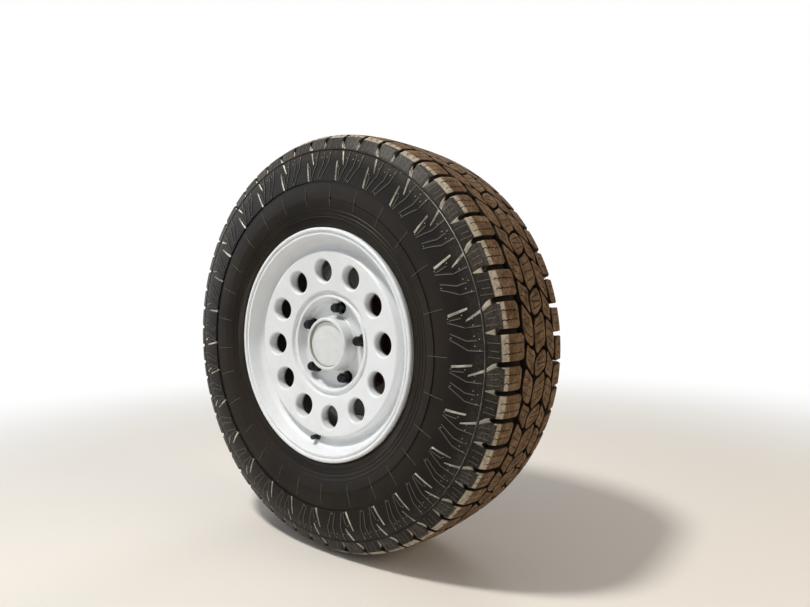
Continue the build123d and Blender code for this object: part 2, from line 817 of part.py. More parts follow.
with BuildPart() as bracket_bolts:
    with BuildSketch(facing_out(flange_back - ear_step + seat_gap)):
        with Locations(ears):
            Circle(bracket_bolt_r)
    extrude(amount=flange_thickness - ear_step + bracket_standoff)
    with BuildSketch(facing_out(flange_back - ear_step + seat_gap)):
        with Locations(ears):
            RegularPolygon(bolt_head_width / 2, 6, major_radius=False)
    extrude(amount=-bolt_head_thickness)
bracket_bolts.part.label = "bracket_bolts"

os.makedirs("parts", exist_ok=True)
builders = [
    wheel,
    tyre,
    centre_cap,
    cap_plate,
    valve_stem,
    valve_cap,
    balance_weights,
    brake_disc,
    hub,
    wheel_bearings,
    drive_flange,
    stub_axle,
    spindle_nut,
    dust_shield,
    brake_pads,
    caliper_bracket,
    caliper,
    guide_pins,
    bracket_bolts,
]
for piece in [builder.part for builder in builders] + lug_nuts:
    export_step(piece, f"parts/{piece.label}.step")
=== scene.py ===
import math
import bmesh
import bpy
from mathutils import Matrix, Vector


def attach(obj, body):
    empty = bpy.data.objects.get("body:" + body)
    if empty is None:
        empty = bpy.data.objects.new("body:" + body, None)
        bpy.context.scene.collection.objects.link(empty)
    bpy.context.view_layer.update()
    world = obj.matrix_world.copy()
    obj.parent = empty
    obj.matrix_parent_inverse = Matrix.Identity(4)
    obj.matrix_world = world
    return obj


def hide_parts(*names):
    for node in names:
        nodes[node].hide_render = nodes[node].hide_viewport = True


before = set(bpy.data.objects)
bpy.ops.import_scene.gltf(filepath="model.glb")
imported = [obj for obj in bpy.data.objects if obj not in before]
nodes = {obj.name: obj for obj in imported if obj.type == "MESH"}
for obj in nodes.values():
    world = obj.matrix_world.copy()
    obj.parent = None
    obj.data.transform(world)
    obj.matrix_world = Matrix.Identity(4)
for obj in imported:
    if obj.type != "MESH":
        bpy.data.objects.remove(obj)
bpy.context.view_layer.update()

wheelCentreY = -0.115     # the wheel's centre plane, metres; the spin axis is Y
print("frame loaded:", len(nodes), "nodes")

scene = bpy.context.scene
scene.view_settings.view_transform = "Standard"


def toLinear(hexColour):
    channels = [int(hexColour[i:i + 2], 16) / 255 for i in (1, 3, 5)]
    return [c / 12.92 if c <= 0.04045 else ((c + 0.055) / 1.055) ** 2.4 for c in channels] + [1.0]


def addNode(tree, kind, values=None, links=None, **settings):
    # one node of a tree, with its settings, its socket values and what is plugged into it;
    # a node in links stands for its first output
    node = tree.nodes.new("ShaderNode" + kind)
    for name, value in settings.items():
        setattr(node, name, value)
    for socket, value in (values or {}).items():
        node.inputs[socket].default_value = value
    for socket, source in (links or {}).items():
        source = source.outputs[0] if isinstance(source, bpy.types.Node) else source
        tree.links.new(source, node.inputs[socket])
    return node


def newMaterial(name, colour, **values):
    material = bpy.data.materials.new(name)
    material.use_nodes = True
    tree = material.node_tree
    shader = tree.nodes["Principled BSDF"]
    shader.inputs["Base Color"].default_value = toLinear(colour)
    for socket, value in values.items():
        shader.inputs[socket.replace("_", " ")].default_value = value
    return material, tree, shader


def cloudyPatches(tree, place, size, low, high, detail=4.0):
    # patches about so many metres across, from 0 to 1 between two levels of the noise
    noise = addNode(tree, "TexNoise", {"Scale": 1 / size, "Detail": detail, "Roughness": 0.6},
                    {"Vector": place})
    return addNode(tree, "MapRange", {"From Min": low, "From Max": high}, {"Value": noise},
                   interpolation_type="SMOOTHSTEP")


def grainySkin(tree, shader, place, size, depth, height=None):
    # a bump of grains so many metres across and deep, over a coarser one (its height and depth) if given
    noise = addNode(tree, "TexNoise", {"Scale": 1 / size, "Detail": 2.0}, {"Vector": place})
    grain = addNode(tree, "Bump", {"Distance": depth}, {"Height": noise})
    if height:
        source, distance = height
        grain = addNode(tree, "Bump", {"Distance": distance}, {"Height": source, "Normal": grain})
    tree.links.new(grain.outputs[0], shader.inputs["Normal"])


def layOver(tree, shader, under, over, amount, roughness=None):
    # lays one colour over another and makes that the surface's colour, and its roughness if given;
    # a colour is in hex or comes from an earlier node
    mix = addNode(tree, "Mix", links={0: amount}, data_type="RGBA")
    for socket, colour in ((6, under), (7, over)):
        if isinstance(colour, str):
            mix.inputs[socket].default_value = toLinear(colour)
        else:
            tree.links.new(colour, mix.inputs[socket])
    tree.links.new(mix.outputs[2], shader.inputs["Base Color"])
    if roughness:
        rough = addNode(tree, "MapRange", {"To Min": roughness[0], "To Max": roughness[1]},
                        {"Value": amount})
        tree.links.new(rough.outputs[0], shader.inputs["Roughness"])
    return mix.outputs[2]


def distanceFromAxis(tree, place):
    # how far a point is from the spin axis, metres
    flat = addNode(tree, "VectorMath", {1: (1, 0, 1)}, {0: place}, operation="MULTIPLY")
    return addNode(tree, "VectorMath", links={0: flat}, operation="LENGTH").outputs["Value"]


# camera: 26 mm lens, low beside the wheel and a little behind it
camera = {"place": (0.8543, -1.0527, 0.1061), "yaw": 37.71, "pitch": -1.24, "roll": -0.84, "lens": 25.93}
yaw, pitch, roll = (math.radians(camera[angle]) for angle in ("yaw", "pitch", "roll"))
ahead = Vector((-math.sin(yaw) * math.cos(pitch), math.cos(yaw) * math.cos(pitch), math.sin(pitch)))
side = ahead.cross(Vector((0, 0, 1))).normalized()
up = side.cross(ahead)
side, up = side * math.cos(roll) + up * math.sin(roll), up * math.cos(roll) - side * math.sin(roll)
cameraObject = bpy.data.objects.new("camera", bpy.data.cameras.new("camera"))
cameraObject.data.lens = camera["lens"]
cameraObject.data.sensor_width = 36
turn = Matrix((side, up, -ahead)).transposed()
cameraObject.matrix_world = Matrix.Translation(camera["place"]) @ turn.to_4x4()
scene.collection.objects.link(cameraObject)
scene.camera = cameraObject

# pale floor and soft studio light
studio = {
    "floor": -0.4252, "floorSize": 14.0, "floorColour": "#E5E0D8",
    "fade": {"From Min": 0.9, "From Max": 2.6},      # where the floor turns to the white background
    "sky": "#E9EEF4", "skyStrength": 0.27,
    "lamps": (
        # name, place, aim, size, watts, colour
        ("keyLamp", (-0.4, -1.6, 2.88), (0, -0.1, 0), 0.45, 93, "#FFFCF7"),
        ("leftLamp", (-2.6, -2.2, 0.9), (0, -0.15, 0), 1.8, 15, "#E3EEFF"),
        ("rearLamp", (2.6, 0.3, 0.9), (0, -0.1, -0.1), 1.2, 20, "#FFE6C8"),
        ("backLamp", (-1.0, 2.6, 1.8), (0, 0, 0), 1.6, 20, "#FFFFFF"),
    ),
}
for name, place, aim, size, watts, colour in studio["lamps"]:
    lamp = bpy.data.lights.new(name, "AREA")
    lamp.shape, lamp.size, lamp.energy = "DISK", size, watts
    lamp.color = toLinear(colour)[:3]
    lampObject = bpy.data.objects.new(name, lamp)
    lampObject.location = place
    lampObject.rotation_euler = (Vector(place) - Vector(aim)).to_track_quat("Z", "Y").to_euler()
    scene.collection.objects.link(lampObject)

world = bpy.data.worlds.new("studio")
world.use_nodes = True
scene.world = world
tree = world.node_tree
tree.nodes.clear()
path = addNode(tree, "LightPath")
seen = addNode(tree, "Math", links={0: path.outputs["Is Camera Ray"], 1: path.outputs["Is Glossy Ray"]},
               operation="MAXIMUM")
seen = addNode(tree, "Math", links={0: seen, 1: path.outputs["Is Transmission Ray"]},
               operation="MAXIMUM")
sky = addNode(tree, "Background", {"Color": toLinear(studio["sky"]), "Strength": studio["skyStrength"]})
white = addNode(tree, "Background", {"Color": (1, 1, 1, 1), "Strength": 1.0})
mixed = addNode(tree, "MixShader", links={0: seen, 1: sky, 2: white})
addNode(tree, "OutputWorld", links={"Surface": mixed})

bm = bmesh.new()
bmesh.ops.create_grid(bm, x_segments=1, y_segments=1, size=studio["floorSize"] / 2)
bmesh.ops.translate(bm, verts=bm.verts, vec=(0, 0, studio["floor"]))
floorMesh = bpy.data.meshes.new("floor")
bm.to_mesh(floorMesh)
bm.free()
floor = bpy.data.objects.new("floor", floorMesh)
scene.collection.objects.link(floor)
floorPaint, tree, shader = newMaterial("paleFloor", studio["floorColour"], Roughness=0.8)
floorMesh.materials.append(floorPaint)
place = addNode(tree, "TexCoord").outputs["Object"]
flatPlace = addNode(tree, "VectorMath", {1: (1, 1, 0)}, {0: place}, operation="MULTIPLY")
away = addNode(tree, "VectorMath", links={0: flatPlace}, operation="LENGTH").outputs["Value"]
away = addNode(tree, "MapRange", studio["fade"], {"Value": away}, interpolation_type="SMOOTHSTEP")
path = addNode(tree, "LightPath")
seen = addNode(tree, "Math", links={0: away, 1: path.outputs["Is Camera Ray"]}, operation="MULTIPLY")
glow = addNode(tree, "Emission", {"Color": (1, 1, 1, 1), "Strength": 1.0})
mixed = addNode(tree, "MixShader", links={0: seen, 1: shader, 2: glow})
tree.links.new(mixed.outputs[0], tree.nodes["Material Output"].inputs["Surface"])
print("studio ready")

# satin powder coat on a cast alloy wheel: soft white gloss, road dust on it, and brake dust with painted
# shade behind the face, darkest near the face
wheelPaint = {
    # the dark colour behind the face is brake dust deepened into painted shade, so the barrel seen through
    # the vents looks dark
    "colour": "#E9ECEE", "dust": "#CFC5B6", "brakeDustAndShade": "#2B2724", "barrelDust": "#9A948A",
    "roughness": (0.42, 0.85), "dustShare": 0.35,
    # metres along the axis or from it, where the hidden side of the casting begins
    "behindFace": {"From Min": -0.199, "From Max": -0.191},
    "outsideBowl": {"From Min": 0.099, "From Max": 0.107},
    "behindBowl": {"From Min": -0.178, "From Max": -0.172},
    "toInnerLip": {"From Min": -0.088, "From Max": -0.035},
}
whitePaint, tree, shader = newMaterial("satinPowderCoat", wheelPaint["colour"], Roughness=0.42,
                                       Coat_Weight=0.1, Coat_Roughness=0.3)
place = addNode(tree, "TexCoord").outputs["Object"]
along = addNode(tree, "SeparateXYZ", links={0: place}).outputs["Y"]
radius = distanceFromAxis(tree, place)
behind = addNode(tree, "MapRange", wheelPaint["behindFace"], {"Value": along})
outside = addNode(tree, "MapRange", wheelPaint["outsideBowl"], {"Value": radius})
deep = addNode(tree, "MapRange", wheelPaint["behindBowl"], {"Value": along})
hidden = addNode(tree, "Math", links={0: behind, 1: outside}, operation="MULTIPLY")
hidden = addNode(tree, "Math", links={0: hidden, 1: deep}, operation="MAXIMUM")
film = cloudyPatches(tree, place, 0.045, 0.42, 0.95)
film = addNode(tree, "Math", {1: wheelPaint["dustShare"]}, {0: film}, operation="MULTIPLY")
dusty = layOver(tree, shader, wheelPaint["colour"], wheelPaint["dust"], film)
# painted shade: behind the face the barrel is darkest near the face and turns to paler brake dust towards
# the inner lip
toLip = addNode(tree, "MapRange", wheelPaint["toInnerLip"], {"Value": along},
                interpolation_type="SMOOTHSTEP")
paleTowardLip = addNode(tree, "MapRange", {"To Min": 0.45}, {"Value": cloudyPatches(tree, place, 0.03, 0.2, 0.75)})
paleTowardLip = addNode(tree, "Math", links={0: paleTowardLip, 1: toLip}, operation="MULTIPLY")
sootAndShade = layOver(tree, shader, wheelPaint["brakeDustAndShade"], wheelPaint["barrelDust"], paleTowardLip)
layOver(tree, shader, dusty, sootAndShade, hidden, wheelPaint["roughness"])
grainySkin(tree, shader, place, 0.0022, 0.00003)     # orange peel of the coating, about 2 mm

# moulded ABS, painted: smooth white with a little haze, and painted shade in the groove round the plate
capPaint = {"colour": "#DFE2E2", "dust": "#A19D97", "grooveRadius": 0.0463, "grooveHalfWidth": 0.0011}
capPlastic, tree, shader = newMaterial("paintedAbs", capPaint["colour"], Roughness=0.42, Coat_Weight=0.1)
place = addNode(tree, "TexCoord").outputs["Object"]
# painted shade: the groove round the plate takes the dust colour in full
grooveShade = addNode(tree, "Math", {1: capPaint["grooveRadius"], 2: capPaint["grooveHalfWidth"]},
                   {0: distanceFromAxis(tree, place)}, operation="COMPARE")
hazeAndGrooveShade = cloudyPatches(tree, place, 0.02, 0.4, 0.9)
hazeAndGrooveShade = addNode(tree, "Math", {1: 0.25}, {0: hazeAndGrooveShade}, operation="MULTIPLY")
hazeAndGrooveShade = addNode(tree, "Math", links={0: hazeAndGrooveShade, 1: grooveShade}, operation="MAXIMUM")
layOver(tree, shader, capPaint["colour"], capPaint["dust"], hazeAndGrooveShade, (0.4, 0.6))
grainySkin(tree, shader, place, 0.0012, 0.00002)

# black electro-coated steel: deep black with small sharp lights, worn grey in specks
nutSteel, tree, shader = newMaterial("blackCoatedSteel", "#070708", Roughness=0.24, Specular_IOR_Level=0.28)
place = addNode(tree, "TexCoord").outputs["Object"]
layOver(tree, shader, "#070708", "#2B2926", cloudyPatches(tree, place, 0.004, 0.58, 0.74), (0.2, 0.5))
grainySkin(tree, shader, place, 0.0008, 0.00002)

# moulded EPDM rubber of the valve stem: dull black
valveRubber, tree, shader = newMaterial("valveRubber", "#161514", Roughness=0.7)
place = addNode(tree, "TexCoord").outputs["Object"]
layOver(tree, shader, "#161514", "#54483B", cloudyPatches(tree, place, 0.003, 0.5, 0.9))
grainySkin(tree, shader, place, 0.0006, 0.00004)

# moulded nylon of the valve cap: satin black, dusty in its dips
valveNylon, tree, shader = newMaterial("mouldedNylon", "#121213", Roughness=0.45)
place = addNode(tree, "TexCoord").outputs["Object"]
layOver(tree, shader, "#121213", "#4B4238", cloudyPatches(tree, place, 0.003, 0.55, 0.95))
grainySkin(tree, shader, place, 0.0005, 0.00002)

# cast zinc: pale grey metal, dulled in the weather
castZinc, tree, shader = newMaterial("castZinc", "#A9ABAB", Metallic=1.0, Roughness=0.45)
place = addNode(tree, "TexCoord").outputs["Object"]
layOver(tree, shader, "#A9ABAB", "#6B655C", cloudyPatches(tree, place, 0.006, 0.4, 0.8), (0.38, 0.75))
grainySkin(tree, shader, place, 0.0008, 0.00004)

# brake disc: grey iron, turned bright in fine rings where the pads run, rusty brown on the hat and edges
discIron = {
    "bright": "#8E8B87", "rust": "#6A3F24", "darkRust": "#3C2A1E",
    "roughness": (0.36, 0.88), "rings": 0.0011,
    # metres from the axis, where the pads' track ends
    "trackInside": {"From Min": 0.1085, "From Max": 0.107},
    "trackOutside": {"From Min": 0.1625, "From Max": 0.1635},
}
brakeIron, tree, shader = newMaterial("turnedGreyIron", discIron["bright"], Metallic=1.0, Roughness=0.4)
place = addNode(tree, "TexCoord").outputs["Object"]
radius = distanceFromAxis(tree, place)
inner = addNode(tree, "MapRange", discIron["trackInside"], {"Value": radius})
outer = addNode(tree, "MapRange", discIron["trackOutside"], {"Value": radius})
rusty = addNode(tree, "Math", links={0: inner, 1: outer}, operation="MAXIMUM")
specks = cloudyPatches(tree, place, 0.012, 0.55, 0.85)
rusty = addNode(tree, "Math", links={0: rusty, 1: specks}, operation="MAXIMUM")
tone = cloudyPatches(tree, place, 0.009, 0.3, 0.7)
rust = layOver(tree, shader, discIron["rust"], discIron["darkRust"], tone)
layOver(tree, shader, discIron["bright"], rust, rusty, discIron["roughness"])
metal = addNode(tree, "MapRange", {"To Min": 1.0, "To Max": 0.0}, {"Value": rusty})
tree.links.new(metal.outputs[0], shader.inputs["Metallic"])
ring = addNode(tree, "Math", {1: 2 * math.pi / discIron["rings"]}, {0: radius}, operation="MULTIPLY")
ring = addNode(tree, "Math", links={0: ring}, operation="SINE")
grainySkin(tree, shader, place, 0.0015, 0.0001, (ring, 0.00004))

# cast, forged and pressed metal under the car: colour, dirt, metallic, roughness clean and dirty,
# size of the dirt's patches and of the skin's grains, and how deep the grains are
underCar = {
    # oily scale and road dirt
    "forgedSteel": ("#57504A", "#3B2F25", 0.0, (0.55, 0.9), 0.03, 0.0016, 0.00015),
    # sand-cast, with brown rust
    "rustyCastIron": ("#4B3529", "#6A4128", 0.0, (0.7, 0.92), 0.018, 0.0022, 0.0002),
    # worn black paint and dust
    "paintedCastIron": ("#2E2D2C", "#5B4632", 0.0, (0.45, 0.9), 0.028, 0.0020, 0.00014),
    # grey primer and dust
    "pressedSteel": ("#5A5853", "#4A3A2B", 0.0, (0.5, 0.88), 0.035, 0.0030, 0.00006),
    # dull yellow zinc plate
    "platedSteel": ("#A39A82", "#5C4A38", 1.0, (0.35, 0.7), 0.007, 0.0010, 0.00003),
    # ground bright and greasy
    "bearingSteel": ("#B9B9B8", "#5A5046", 1.0, (0.22, 0.45), 0.006, 0.0010, 0.00001),
    # pressed fibre with copper flecks
    "padLining": ("#2F2B29", "#6B5444", 0.0, (0.8, 0.95), 0.003, 0.0007, 0.00012),
}
finish = {}
for name, (colour, dirt, metallic, roughness, patch, grain, depth) in underCar.items():
    finish[name], tree, shader = newMaterial(name, colour, Metallic=metallic, Roughness=roughness[0])
    place = addNode(tree, "TexCoord").outputs["Object"]
    layOver(tree, shader, colour, dirt, cloudyPatches(tree, place, patch, 0.38, 0.68), roughness)
    grainySkin(tree, shader, place, grain, depth)

dressed = {
    "wheel": whitePaint, "centre_cap": capPlastic, "cap_plate": capPlastic, "valve_stem": valveRubber,
    "valve_cap": valveNylon, "balance_weights": castZinc, "brake_disc": brakeIron,
    "stub_axle": finish["forgedSteel"], "drive_flange": finish["forgedSteel"],
    "hub": finish["rustyCastIron"], "caliper_bracket": finish["rustyCastIron"],
    "caliper": finish["paintedCastIron"],
    "dust_shield": finish["pressedSteel"], "brake_pads": finish["padLining"],
    "guide_pins": finish["platedSteel"], "bracket_bolts": finish["platedSteel"],
    "spindle_nut": finish["platedSteel"], "wheel_bearings": finish["bearingSteel"],
}
dressed.update({"lug_nut_" + str(number): nutSteel for number in range(1, 6)})
for name, material in dressed.items():
    for slot in nodes[name].material_slots:
        slot.material = material
print("finishes laid on", len(dressed), "nodes")


# tyre: the pitches round the tread, each a groove, a long block, a groove and a short one
tyre = {
    "pitches": "LLMMMMMMMMLSMMSMLMMSMLMSSSMM", "shares": {"S": 11.0, "M": 13.0, "L": 14.7},
    # degrees, then how far the inner half is moved along in pitches, and how deep the blocks are
    # buried in the casing, in tread depths
    "firstAngle": -2.0, "innerShift": -0.15, "blockRoot": 0.18,
    # millimetres
    "pitchLength": 95.4, "treadDepth": 12.4, "lugDepth": 2.5, "blockBevel": 1.1, "lugBevel": 0.8,
    "lugRoot": 1.2, "reliefRoot": 0.4, "ringRoot": 0.5, "bandRoot": 0.3,
    "sipeDepth": 5.0, "sipeWidth": 1.7, "sipeStep": 4.4, "sipeClear": 3.0,
    "ribHeight": 0.5, "stepHeight": 1.0, "stepFoot": 0.17, "shadowStripHeight": 0.1, "studHeight": 1.12,
    "studLength": 2.2, "ring": (137.6, 139.4), "ringHeight": 0.9,
    # pitches
    "sipeWave": 0.02, "ribWidth": 0.009, "stepWidth": 0.05, "shadowStripWidth": 0.018, "studWidth": 0.024,
    "bandLine": (0.06, 0.067),
    # to a pitch
    "beadRibs": 27, "bendCuts": 7, "casingSteps": 8,
    "colours": {
        "rubber": "#060606", "film": "#20180E", "dust": "#57422D", "paleDust": "#836B52",
        "groove": "#1C1610", "chamfer": "#B0A695", "slotDustAndHighlight": "#F0EBE0", "shoulderDust": "#857D72",
        "stepShadow": "#050505",
    },
    # where a finish begins or ends, in 100 mm from the crown
    "zones": {
        "edge": {"From Min": 1.0, "From Max": 1.025},
        "slotsIn": {"From Min": 1.16, "From Max": 1.19},
        "shoulder": {"From Min": 1.38, "From Max": 1.37},
        "side": {"From Min": 1.4, "From Max": 1.41},
        "besideRing": {"From Min": 1.66, "From Max": 1.5, "To Max": 0.12},
        "slotsOut": {"From Min": 2.005, "From Max": 1.995},
        "filmed": {"From Min": 1.98, "From Max": 2.1, "To Min": 0.45},
        "plainBand": {"From Min": 2.08, "From Max": 2.09},
        "beadIn": {"From Min": 2.645, "From Max": 2.66},
        "beadOut": {"From Min": 2.77, "From Max": 2.755},
    },
    # and at what lift: 0 on the groove floor, 1 on the top of the lugs and more on what stands on them
    "lifts": {
        "bandLine": {"From Min": 0.08, "From Max": 0.14, "To Max": 0.42},
        "sunk": {"From Min": 0.85, "From Max": 0.7},
        "raised": {"From Min": 0.88, "From Max": 0.97},
        "rib": {"From Min": 1.015, "From Max": 1.035, "To Max": 0.34},
        "step": {"From Min": 1.26, "From Max": 1.38, "To Max": 0.38},
        "stud": {"From Min": 1.41, "From Max": 1.43},
    },
}
share = [tyre["shares"][letter] for letter in tyre["pitches"]]
pitchSize = [360 * part / sum(share) for part in share]
pitchCount = len(pitchSize)

# vulcanised tread rubber: black, satin on the walls with a thin brown film, matt and dusty on the tread,
# with painted highlights on its raised edges and painted shadows beside the side steps
colours = tyre["colours"]
rubber, tree, shader = newMaterial("tyreRubber", colours["rubber"], Roughness=0.6,
                                   Specular_IOR_Level=0.16)
place = addNode(tree, "TexCoord").outputs["Object"]
flat = addNode(tree, "SeparateXYZ", links={0: addNode(tree, "UVMap", uv_map="flatPlace")})
way = addNode(tree, "Math", links={0: flat.outputs["Y"]}, operation="ABSOLUTE")
lift = addNode(tree, "Attribute", attribute_name="lift").outputs["Fac"]
zone = {name: addNode(tree, "MapRange", limits, {"Value": way}) for name, limits in tyre["zones"].items()}
rise = {name: addNode(tree, "MapRange", limits, {"Value": lift}) for name, limits in tyre["lifts"].items()}

# the two halves of the tread run opposite ways round; the short block of a pitch has the dustier shoulder
half = addNode(tree, "Math", links={0: flat.outputs["Y"]}, operation="SIGN")
against = addNode(tree, "Math", {1: -1.0}, {0: half}, operation="MULTIPLY")
shift = tyre["innerShift"] / 2
offset = addNode(tree, "Math", {1: shift, 2: shift}, {0: half}, operation="MULTIPLY_ADD")
phase = addNode(tree, "Math", links={0: flat.outputs["X"], 1: against, 2: offset}, operation="MULTIPLY_ADD")
phase = addNode(tree, "Math", links={0: phase}, operation="FRACT")
shortFrom = addNode(tree, "MapRange", {"From Min": 0.5, "From Max": 0.51}, {"Value": phase})
shortTo = addNode(tree, "MapRange", {"From Min": 0.94, "From Max": 0.93}, {"Value": phase})
short = addNode(tree, "Math", links={0: shortFrom, 1: shortTo}, operation="MULTIPLY")
heavy = addNode(tree, "MapRange", {"To Min": 0.08, "To Max": 0.33}, {"Value": short})
heavy = addNode(tree, "Math", links={0: heavy, 1: zone["shoulder"]}, operation="MULTIPLY")
heavy = addNode(tree, "Math", links={0: heavy, 1: zone["besideRing"]}, operation="MAXIMUM")
dusted = cloudyPatches(tree, place, 0.0045, 0.2, 0.8)
dusted = addNode(tree, "Math", links={0: heavy, 1: dusted}, operation="MULTIPLY")

# pale dust and painted highlights on the fine ribs of the shoulder, the crests of the steps, the studs and
# the lines of the plain band
stepOrStud = addNode(tree, "Math", links={0: rise["step"], 1: rise["stud"]}, operation="MAXIMUM")
proudDustAndHighlight = addNode(tree, "Mix", links={0: zone["side"], 2: rise["rib"], 3: stepOrStud})
onLine = addNode(tree, "Math", links={0: zone["plainBand"], 1: rise["bandLine"]}, operation="MULTIPLY")
proudDustAndHighlight = addNode(tree, "Math", links={0: proudDustAndHighlight, 1: onLine}, operation="MAXIMUM")

# black strips beside the steps, told by their lift, as painted shadow; and pale dust packed in the slots,
# brightened as painted highlight
stepShadowLift = 1 + tyre["shadowStripHeight"] / tyre["lugDepth"]
stepShadow = addNode(tree, "Math", {1: stepShadowLift, 2: 0.012}, {0: lift}, operation="COMPARE")
stepShadow = addNode(tree, "Math", links={0: stepShadow, 1: zone["side"]}, operation="MULTIPLY")
# the slots' pale colour is dust and painted highlight, at full strength on the shoulder
uneven = cloudyPatches(tree, place, 0.03, 0.36, 0.6)
uneven = addNode(tree, "MapRange", {"To Min": 0.55}, {"Value": uneven})
uneven = addNode(tree, "Math", links={0: uneven, 1: zone["shoulder"]}, operation="MAXIMUM")
slot = zone["slotsIn"]
for mask in (zone["slotsOut"], rise["sunk"], uneven):
    slot = addNode(tree, "Math", links={0: slot, 1: mask}, operation="MULTIPLY")

filmed = cloudyPatches(tree, place, 0.11, 0.3, 0.62)
filmed = addNode(tree, "MapRange", {"To Min": 0.4}, {"Value": filmed})
filmed = addNode(tree, "Math", links={0: filmed, 1: zone["filmed"]}, operation="MULTIPLY")
wall = layOver(tree, shader, colours["rubber"], colours["film"], filmed)
for name, mask in (("shoulderDust", dusted), ("chamfer", proudDustAndHighlight), ("stepShadow", stepShadow), ("slotDustAndHighlight", slot)):
    wall = layOver(tree, shader, wall, colours[name], mask)

# the tread: brown dust on the blocks, paler on their worn edge with a painted highlight, dark grooves
worn = cloudyPatches(tree, place, 0.006, 0.36, 0.6)
worn = addNode(tree, "MapRange", {"To Min": 0.6}, {"Value": worn})
raised = addNode(tree, "Math", links={0: rise["raised"], 1: worn}, operation="MULTIPLY")
tone = cloudyPatches(tree, place, 0.02, 0.3, 0.75)
dust = layOver(tree, shader, colours["dust"], colours["paleDust"], tone)
tread = layOver(tree, shader, colours["groove"], dust, raised)
# the worn edge band is pale dust with a painted highlight
edge = layOver(tree, shader, colours["groove"], colours["chamfer"], raised)
tread = layOver(tree, shader, tread, edge, zone["edge"])
# the tread's finish ends 5.5 mm nearer the crown on the short block
lower = addNode(tree, "Math", {1: 0.055}, {0: short, 2: way}, operation="MULTIPLY_ADD")
onWall = addNode(tree, "MapRange", {"From Min": 1.125, "From Max": 1.14}, {"Value": lower})
layOver(tree, shader, tread, wall, onWall, (0.9, 0.43))

# fine ribs of the bead band, 3.5 mm apart
rib = addNode(tree, "Math", {1: 2 * math.pi * tyre["beadRibs"]}, {0: flat.outputs["X"]},
              operation="MULTIPLY")
rib = addNode(tree, "Math", links={0: rib}, operation="SINE")
band = addNode(tree, "Math", links={0: zone["beadIn"], 1: zone["beadOut"]}, operation="MULTIPLY")
rib = addNode(tree, "Math", links={0: rib, 1: band}, operation="MULTIPLY")
grainySkin(tree, shader, place, 0.0016, 0.0002, (rib, 0.00035))


def angleAt(phase):
    # pitches from the first groove, whole and part, to an angle round the spin axis
    lap, place = divmod(phase, pitchCount)
    number = min(int(place), pitchCount - 1)
    start = sum(pitchSize[:number]) + 360 * lap
    return math.radians(tyre["firstAngle"] + start + (place - number) * pitchSize[number])


# the tyre's section in millimetres: way over its surface from the crown,
# then radius and offset of the top of the lugs and of the floor under them
profile = (
    (0, 424.6, 0, 412.3, 0), (20, 424.5, 20, 412.2, 20), (40, 424.1, 40, 411.8, 40),
    (60, 423.2, 60, 410.8, 59.5), (80, 421.3, 79.5, 408.8, 78.5), (96, 418.6, 96, 405.9, 93),
    (101, 417.2, 101.5, 404.4, 96.5), (113, 410, 113, 399.5, 104), (120, 403.5, 115.8, 394.8, 108.5),
    (127, 397, 118.6, 390.2, 112.8), (133, 391.5, 121, 386.8, 117.4), (137, 387.8, 122.6, 384.8, 120.6),
    (141, 384, 124, 383.2, 121.8), (148, 377.6, 126, 376.8, 123.6), (156, 369.8, 128.2, 369.2, 125.8),
    (171, 355, 131, 354.6, 128.5), (185, 341.3, 133.1, 341.1, 130.6), (198, 328, 134, 328, 131.5),
    (204, 322.2, 133.7, 322.2, 131.4), (212, 314.2, 133.9, 314.2, 131.6), (222, 304.2, 133.8, 304.2, 131.4),
    (236, 290.3, 132, 290.1, 129.7), (251, 275.7, 129, 275.3, 126.7), (264, 263.2, 125.6, 262.6, 123.4),
    (277, 250.6, 122.2, 250, 120),
)


def placeOn(way, lift):
    # a point of the tyre's section: lift 0 lies on the groove floor and 1 on the top of the lugs
    far = min(abs(way), profile[-1][0] - 0.001)
    row = next(i for i in range(len(profile) - 1) if profile[i + 1][0] > far)
    low, high = profile[row], profile[row + 1]
    part = (far - low[0]) / (high[0] - low[0])
    topR, topT, floorR, floorT = (a + (b - a) * part for a, b in zip(low[1:], high[1:]))
    offset = floorT + (topT - floorT) * lift
    return floorR + (topR - floorR) * lift, math.copysign(offset, way)


def finishTyrePiece(bm, name, wrap, sharpAngle):
    # bends the flat mesh round the axis; the rubber's nodes read its lift
    # and its flat place, in pitches along and 100 mm across
    layer = bm.loops.layers.uv.new("flatPlace")
    lifts = bm.verts.layers.float.new("lift")
    for face in bm.faces:
        for loop in face.loops:
            loop[layer].uv = (loop.vert.co.x / tyre["pitchLength"], wrap(loop.vert.co)[2] / 100)
    for vert in bm.verts:
        angle = angleAt(vert.co.x / tyre["pitchLength"])
        radius, offset, way, vert[lifts] = wrap(vert.co)
        vert.co = Vector((radius * math.cos(angle), offset, radius * math.sin(angle))) / 1000
        vert.co.y += wheelCentreY
    bmesh.ops.remove_doubles(bm, verts=bm.verts, dist=1e-6)
    bmesh.ops.recalc_face_normals(bm, faces=bm.faces)
    mesh = bpy.data.meshes.new(name)
    bm.to_mesh(mesh)
    bm.free()
    mesh.shade_smooth()
    mesh.set_sharp_from_angle(angle=math.radians(sharpAngle))
    piece = bpy.data.objects.new(name, mesh)
    scene.collection.objects.link(piece)
    mesh.materials.append(rubber)
    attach(piece, "wheel_assembly")
    print(name, "made,", sum(len(face.vertices) - 2 for face in mesh.polygons), "triangles")
    return piece


